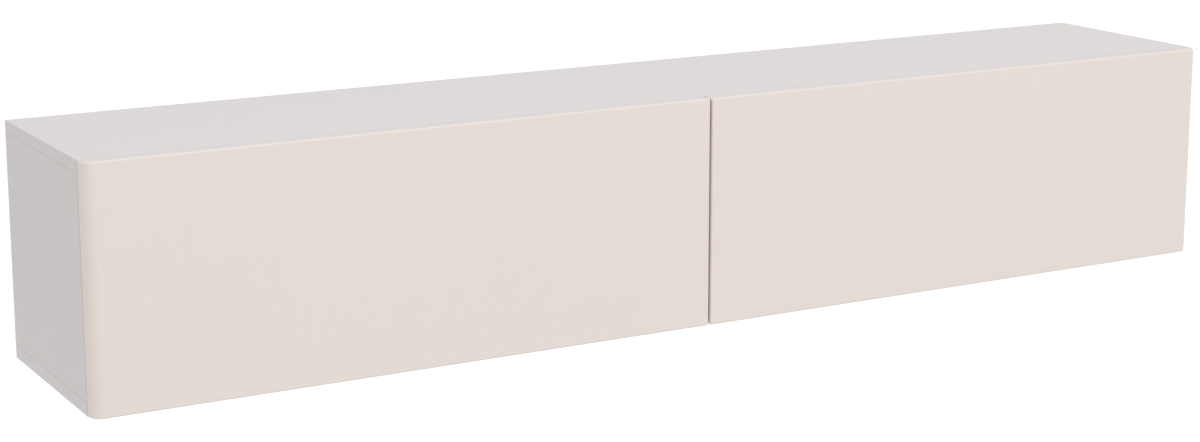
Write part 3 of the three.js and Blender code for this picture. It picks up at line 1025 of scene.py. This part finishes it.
def makeHingeArm():
    low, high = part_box("left_outer_hinge_arm")
    pin = pivots["left_hinge_link_pivot"]
    x = (low.x + high.x) / 2
    bodyY, webZ = low.y + arm["noseLong"], low.z + arm["webRise"]
    channel = block("channel", (low.x, bodyY, webZ), high)
    noseHigh, bodyHigh = 2 * link["radius"], high.z - webZ
    bodyMiddle = (webZ + high.z) / 2
    chooseFaces(channel, lambda centre, normal: normal.y < -squareOn)
    slope = (0, -arm["noseLong"], pin.z - bodyMiddle)
    bpy.ops.mesh.extrude_region_move(TRANSFORM_OT_translate={"value": slope})
    bpy.ops.transform.resize(value=(1, 1, noseHigh / bodyHigh), center_override=(x, low.y, pin.z))
    leaveEdit()
    bevelEdges(channel, both(lyingAt(1, low.y), runningAlong(0)), arm["noseRadius"], steps=8)
    innerLow, innerHigh = low.x + arm["cheek"], high.x - arm["cheek"]
    webY = bodyY + arm["webStart"]
    mouthLow = (innerLow, low.y - overrun, low.z - overrun)
    combine(channel, block("mouth", mouthLow, (innerHigh, webY, high.z + overrun)))
    roomLow = (innerLow, webY - overrun, webZ + arm["web"])
    combine(channel, block("room", roomLow, (innerHigh, high.y + overrun, high.z + overrun)))
    soften(channel, brokenEdge)
    span = (low.x - hingePin["rivetProud"], high.x + hingePin["rivetProud"])
    combine(channel, rodAcross("pin", hingePin["rivetRadius"], pin, span, pinSides), "UNION")
    spread(channel, "arm_channel", "hinge_arm", "carcass", "nickel_steel")
    for end in ("back", "front"):
        spot = (x, high.y - armScrews[end + "FromEnd"], webZ)
        made = screwsAt("screw", [spot], (0, 0, -1), armScrews[end + "Scale"])
        spread(made, f"arm_{end}_screw", "hinge_arm", "carcass", "nickel_steel", replacing=False)


def makeHingePlate():
    low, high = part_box("left_outer_hinge_plate")
    x = (low.x + high.x) / 2
    baseLow = (low.x, low.y + plate["railFront"], high.z - plate["thick"])
    base = roundedBlock("base", baseLow, (high.x, high.y - plate["railBack"], high.z), 2, plate["corner"])
    railTop = high.z - plate["thick"] / 2
    railBlock = block("rail", (x - plate["railHalf"], low.y, low.z), (x + plate["railHalf"], high.y, railTop))
    bevelEdges(railBlock, lyingAt(2, low.z), plate["railRound"])
    combine(base, railBlock, "UNION")
    soften(base, brokenEdge)
    spread(base, "plate_base", "hinge_plate", "carcass", "nickel_steel")
    y = (baseLow[1] + high.y - plate["railBack"]) / 2
    spots = [(end, y, baseLow[2]) for end in (low.x + plate["screwFromEnd"], high.x - plate["screwFromEnd"])]
    screws = screwsAt("screws", spots, (0, 0, -1), plate["screwScale"])
    spread(screws, "plate_screws", "hinge_plate", "carcass", "nickel_steel", replacing=False)


makeHingeCup()
makeHingeLink()
makeHingeArm()
makeHingePlate()
print("hinges made")


# Spring stays, in layers from the board they are fixed to: housing, lever, link and bracket ear
stay = {
    "housing": 0.015,
    "lever": (0.0156, 0.0196),
    "link": (0.0202, 0.0242),
    "ear": (0.0248, 0.0278),
    "leverRadius": 0.0065,
    "linkRadius": 0.005,
    "pin": 0.0025,
    "hole": 0.0029,
    "rivet": 0.0036,
    "rivetThick": 0.0004,
    "grooveEdge": 0.0025,
    "grooveDeep": 0.0007,
    "screwScale": 0.9,
}
stayCase = {
    "corner": 0.008,
    "cornerSteps": 10,
    "round": 0.0016,
    "roomRadius": 0.0058,
    "springPlay": 0.0003,
    "windowHalf": 0.0034,
    "windowInset": 0.004,
    "screwInset": 0.008,
}
coil = {"wire": 0.0009, "turns": 24, "steps": 16, "sides": 8}
bracket = {"thick": 0.0025, "corner": 0.004, "screwInset": 0.006}


# Values along X in one stay, counted inwards from the left side panel
def fromWall(span):
    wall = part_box("left_outer_stay_housing")[0].x
    return [wall + value for value in span]


# A pin across the layers, with a flat rivet head at one end
def pinAcross(spot, span, headAt):
    pin = rodAcross("pin", stay["pin"], spot, fromWall(span), pinSides)
    head = fromWall((headAt, headAt + stay["rivetThick"]))
    combine(pin, rodAcross("rivet", stay["rivet"], spot, head), "UNION")
    return pin


# A stay piece goes to all four stays, mirrored at the two that face the other way
def spreadStay(piece, tail, follow, body, slotName="zinc_steel", replacing=True):
    spread(piece, tail, "stay_" + follow, body, slotName, mirrored=True, replacing=replacing)


def bracketPin():
    low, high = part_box("left_outer_stay_link")
    return Vector((0, low.y + stay["linkRadius"], high.z - stay["linkRadius"]))


def makeStayHousing():
    low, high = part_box("left_outer_stay_housing")
    springLow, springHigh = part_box("left_outer_stay_spring")
    middle = centreOf("left_outer_stay_spring")
    innerX = low.x + stay["housing"]
    case = roundedBlock("case", low, (innerX, high.y, high.z), 0, stayCase["corner"], stayCase["cornerSteps"])
    bevelEdges(case, lyingAt(0, innerX), stayCase["round"], steps=3)
    room, play = stayCase["roomRadius"], stayCase["springPlay"]
    roomLow = (middle.x - room, springLow.y - play, middle.z - room)
    combine(case, block("room", roomLow, (middle.x + room, springHigh.y + play, middle.z + room)))
    inset, half = stayCase["windowInset"], stayCase["windowHalf"]
    windowLow = (middle.x, springLow.y + inset, middle.z - half)
    windowHigh = (innerX + overrun, springHigh.y - inset, middle.z + half)
    window = roundedBlock("window", windowLow, windowHigh, 0, half * fullRound)
    mergeClose(window)
    combine(case, window)
    spreadStay(case, "stay_case", "housing", "carcass", "grey_plastic")
    screwInset = stayCase["screwInset"]
    rows = (low.z + screwInset, high.z - screwInset)
    spots = [(innerX, y, z) for y in (low.y + screwInset, high.y - screwInset) for z in rows]
    screws = screwsAt("screws", spots, (1, 0, 0), stay["screwScale"])
    spreadStay(screws, "stay_screws", "housing", "carcass", replacing=False)
    pivot = pivots["left_stay_lever_pivot"]
    pin = pinAcross(pivot, (stay["housing"] / 2, stay["lever"][1]), stay["lever"][1])
    spreadStay(pin, "stay_pivot_pin", "housing", "carcass", replacing=False)


# A round wire swept up a helix, closed at its ends, then laid along Y
def makeSpring():
    low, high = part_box("left_outer_stay_spring")
    middle = centreOf("left_outer_stay_spring")
    wire = coil["wire"]
    radius = (high.z - low.z) / 2 - wire
    pickNothing()
    bpy.ops.mesh.primitive_circle_add(
        vertices=coil["sides"], radius=wire, location=(radius, 0, 0), rotation=(math.pi / 2, 0, 0)
    )
    spring = named("spring")
    turns, steps = coil["turns"], coil["steps"]
    pitch = (high.y - low.y - 2 * wire) / turns
    modify(spring, "SCREW", iterations=turns, screw_offset=pitch, steps=steps, render_steps=steps)
    mergeClose(spring)
    chooseAll(spring)
    bpy.ops.mesh.fill_holes(sides=coil["sides"])
    bpy.ops.mesh.select_all(action="SELECT")
    bpy.ops.mesh.normals_make_consistent(inside=False)
    leaveEdit()
    spring.rotation_euler = (-math.pi / 2, 0, 0)
    spring.location = (middle.x, low.y + wire, middle.z)
    spring = named("spring")
    spreadStay(spring, "spring_coil", "spring", "carcass")


# Flat steel bar with a pressed groove on its inner face and holes for its pins
def pressedBar(start, end, radius, span, holes):
    outline = fromWall(span)
    bar = roundBar("bar", start, end, radius, outline)
    along = Vector((0, end.y - start.y, end.z - start.z)).normalized()
    inset = along * (radius + stay["grooveEdge"])
    groove = (outline[1] - stay["grooveDeep"], outline[1] + overrun)
    combine(bar, roundBar("groove", start + inset, end - inset, radius - stay["grooveEdge"], groove))
    through = (outline[0] - overrun, outline[1] + overrun)
    for spot in holes:
        combine(bar, rodAcross("hole", stay["hole"], spot, through))
    soften(bar, brokenEdge)
    return bar


def makeStayLever():
    pivot, elbow = pivots["left_stay_lever_pivot"], pivots["left_stay_elbow"]
    bar = pressedBar(pivot, elbow, stay["leverRadius"], stay["lever"], [pivot])
    spreadStay(bar, "lever_bar", "lever", "hand_stay_levers")
    pin = pinAcross(elbow, (stay["lever"][0], stay["link"][1]), stay["link"][1])
    spreadStay(pin, "lever_elbow_pin", "lever", "hand_stay_levers", replacing=False)


def makeStayLink():
    elbow, top = pivots["left_stay_elbow"], bracketPin()
    bar = pressedBar(elbow, top, stay["linkRadius"], stay["link"], [elbow, top])
    spreadStay(bar, "link_strap", "link", "hand_stay_links")


def makeStayBracket():
    low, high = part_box("left_outer_stay_bracket")
    earX = fromWall(stay["ear"])
    top = bracketPin()
    baseLow, baseHigh = (earX[0], low.y, low.z), (high.x, low.y + bracket["thick"], high.z)
    base = roundedBlock("base", baseLow, baseHigh, 1, bracket["corner"])
    earFoot = Vector((0, low.y + stay["linkRadius"], top.z))
    combine(base, roundBar("ear", earFoot, top, stay["linkRadius"], earX), "UNION")
    soften(base, brokenEdge)
    spreadStay(base, "bracket_plate", "bracket", "hand_flap")
    pin = pinAcross(top, (stay["link"][0], stay["ear"][1]), stay["link"][0] - stay["rivetThick"])
    spreadStay(pin, "bracket_pin", "bracket", "hand_flap", replacing=False)
    inset = bracket["screwInset"]
    columns = (earX[1] + inset, high.x - inset)
    spots = [(x, baseHigh[1], z) for x in columns for z in (low.z + inset, high.z - inset)]
    screws = screwsAt("screws", spots, (0, 1, 0), stay["screwScale"])
    spreadStay(screws, "bracket_screws", "bracket", "hand_flap", replacing=False)


makeStayHousing()
makeSpring()
makeStayLever()
makeStayLink()
makeStayBracket()
print("stays made")


# Push latches on the compartment floors, and the steel strikes they meet
latch = {
    "round": 0.003,
    "bore": 0.0046,
    "boreDeep": 0.060,
    "boreSides": 48,
    "wing": 0.007,
    "wingThick": 0.0022,
    "wingEnds": 0.012,
    "wingCorner": 0.004,
    "screwScale": 0.85,
}
plunger = {
    "stem": 0.0042,
    "headLong": 0.0022,
    "headRound": 0.0006,
    "magnet": 0.0034,
    "magnetDeep": 0.0008,
    "magnetBack": 0.0012,
    "groove": 0.0004,
    "sides": 40,
}
strike = {
    "sides": 64,
    "crossLong": 0.0046,
    "crossWide": 0.0009,
    "crossDeep": 0.0006,
    "ring": 0.0034,
    "ringWide": 0.0003,
    "ringSides": 40,
}


def makeLatchHousing(hand):
    low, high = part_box(hand + "_latch_housing")
    x = (low.x + high.x) / 2
    body = block(hand + "_latch_case", low, high)
    bevelEdges(body, both(lyingAt(2, high.z), runningAlong(1)), latch["round"], steps=5)
    wingLow = (low.x - latch["wing"], low.y + latch["wingEnds"], low.z)
    wingHigh = (high.x + latch["wing"], high.y - latch["wingEnds"], low.z + latch["wingThick"])
    combine(body, roundedBlock("wings", wingLow, wingHigh, 2, latch["wingCorner"]), "UNION")
    soften(body, brokenEdge)
    z = centreOf(hand + "_latch_plunger").z
    mouth, end = (x, low.y - overrun, z), (x, low.y + latch["boreDeep"], z)
    combine(body, rod("bore", latch["bore"], mouth, end, latch["boreSides"]))
    finished(body, "carcass", "grey_plastic", hand + "_latch_housing")
    inset = latch["wing"] / 2
    rows = (wingLow[1] + latch["wing"], wingHigh[1] - latch["wing"])
    spots = [(column, y, wingHigh[2]) for column in (wingLow[0] + inset, wingHigh[0] - inset) for y in rows]
    screws = screwsAt(hand + "_latch_screws", spots, (0, 0, 1), latch["screwScale"])
    finished(screws, "carcass", "zinc_steel")


def makePlunger(hand):
    low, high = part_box(hand + "_latch_plunger")
    x, y, z = centreOf(hand + "_latch_plunger")
    headRadius, sides = (high.x - low.x) / 2, plunger["sides"]
    neck = low.y + plunger["headLong"]
    head = rod(hand + "_plunger_rod", headRadius, (x, low.y, z), (x, neck, z), sides)
    bevelEdges(head, lyingAt(1, low.y), plunger["headRound"], steps=3)
    combine(head, rod("stem", plunger["stem"], (x, neck - overrun / 2, z), (x, high.y, z), sides), "UNION")
    recess = (x, low.y - overrun, z), (x, low.y + plunger["magnetDeep"], z)
    combine(head, rod("recess", plunger["magnet"] + plunger["groove"], *recess, sides))
    finished(head, hand + "_plunger", "dark_plastic", hand + "_latch_plunger")
    tip = (x, low.y + plunger["groove"] / 2, z), (x, low.y + plunger["magnetBack"], z)
    magnet = rod(hand + "_plunger_magnet", plunger["magnet"], *tip, sides)
    soften(magnet, plunger["groove"] / 2)
    finished(magnet, hand + "_plunger", "nickel_steel")


def makeStrike(hand):
    low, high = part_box(hand + "_strike_plate")
    x, y, z = centreOf(hand + "_strike_plate")
    disc = rod(hand + "_strike_disc", (high.x - low.x) / 2, (x, low.y, z), (x, high.y, z), strike["sides"])
    soften(disc, brokenEdge)
    floorY, sides = high.y - strike["crossDeep"], strike["ringSides"]
    ring = rod("ring", strike["ring"] + strike["ringWide"], (x, floorY, z), (x, high.y + overrun, z), sides)
    combine(ring, rod("core", strike["ring"], (x, floorY - overrun, z), (x, high.y + 2 * overrun, z), sides))
    combine(disc, ring)
    long, wide = strike["crossLong"] / 2, strike["crossWide"] / 2
    for halfX, halfZ in ((long, wide), (wide, long)):
        corners = (x - halfX, floorY, z - halfZ), (x + halfX, high.y + overrun, z + halfZ)
        combine(disc, block("cross", *corners))
    finished(disc, hand + "_flap", "zinc_steel", hand + "_strike_plate")


for hand in hands:
    makeLatchHousing(hand)
    makePlunger(hand)
    makeStrike(hand)
print("latches made")


# Cam fittings that draw the carcass together, and the bumpers that the fronts close against
cam = {
    "radius": 0.0075,
    "foot": -0.004,
    "top": 0.0003,
    "round": 0.00015,
    "roundSteps": 1,
    "sides": 48,
    "crossLong": 0.0088,
    "crossWide": 0.0016,
    "crossDeep": 0.0028,
    "fromBoard": 0.024,
    "rowsY": (-0.250, -0.100),
}
bumper = {"radius": 0.0045, "thick": 0.0012, "dome": 0.0005, "fromEnd": 0.040, "up": 0.009}


def makeCams():
    disc = makeCrossHead("cam", cam)
    ceiling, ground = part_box("top_panel")[0].z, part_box("bottom_panel")[1].z
    rows = (ceiling - cam["fromBoard"], ground + cam["fromBoard"])
    faces = {
        "left_side": (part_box("left_side_panel")[1].x, 1),
        "right_side": (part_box("right_side_panel")[0].x, -1),
        "partition": (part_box("centre_partition")[0].x, -1),
    }
    for where, (x, facing) in faces.items():
        spots = [(x, y, z) for y in cam["rowsY"] for z in rows]
        cams = scatter(disc, where + "_cams", spots, (facing, 0, 0))
        finished(cams, "carcass", "zinc_steel")
    bpy.data.objects.remove(disc)


def makeBumpers(hand):
    low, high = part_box(hand + "_front")
    pad = rod("pad", bumper["radius"], (0, 0, 0), (0, 0, bumper["thick"]))
    bevelEdges(pad, lyingAt(2, bumper["thick"]), bumper["dome"], steps=4)
    ends = (low.x + bumper["fromEnd"], high.x - bumper["fromEnd"])
    spots = [(x, high.y, low.z + bumper["up"]) for x in ends]
    pads = scatter(pad, hand + "_bumpers", spots, (0, 1, 0))
    bpy.data.objects.remove(pad)
    paint(pads, finishes["clear_silicone"])
    finished(pads, hand + "_flap", "grey_plastic")


makeCams()
for hand in hands:
    makeBumpers(hand)
bpy.data.objects.remove(screwHead)
print("small fittings made")
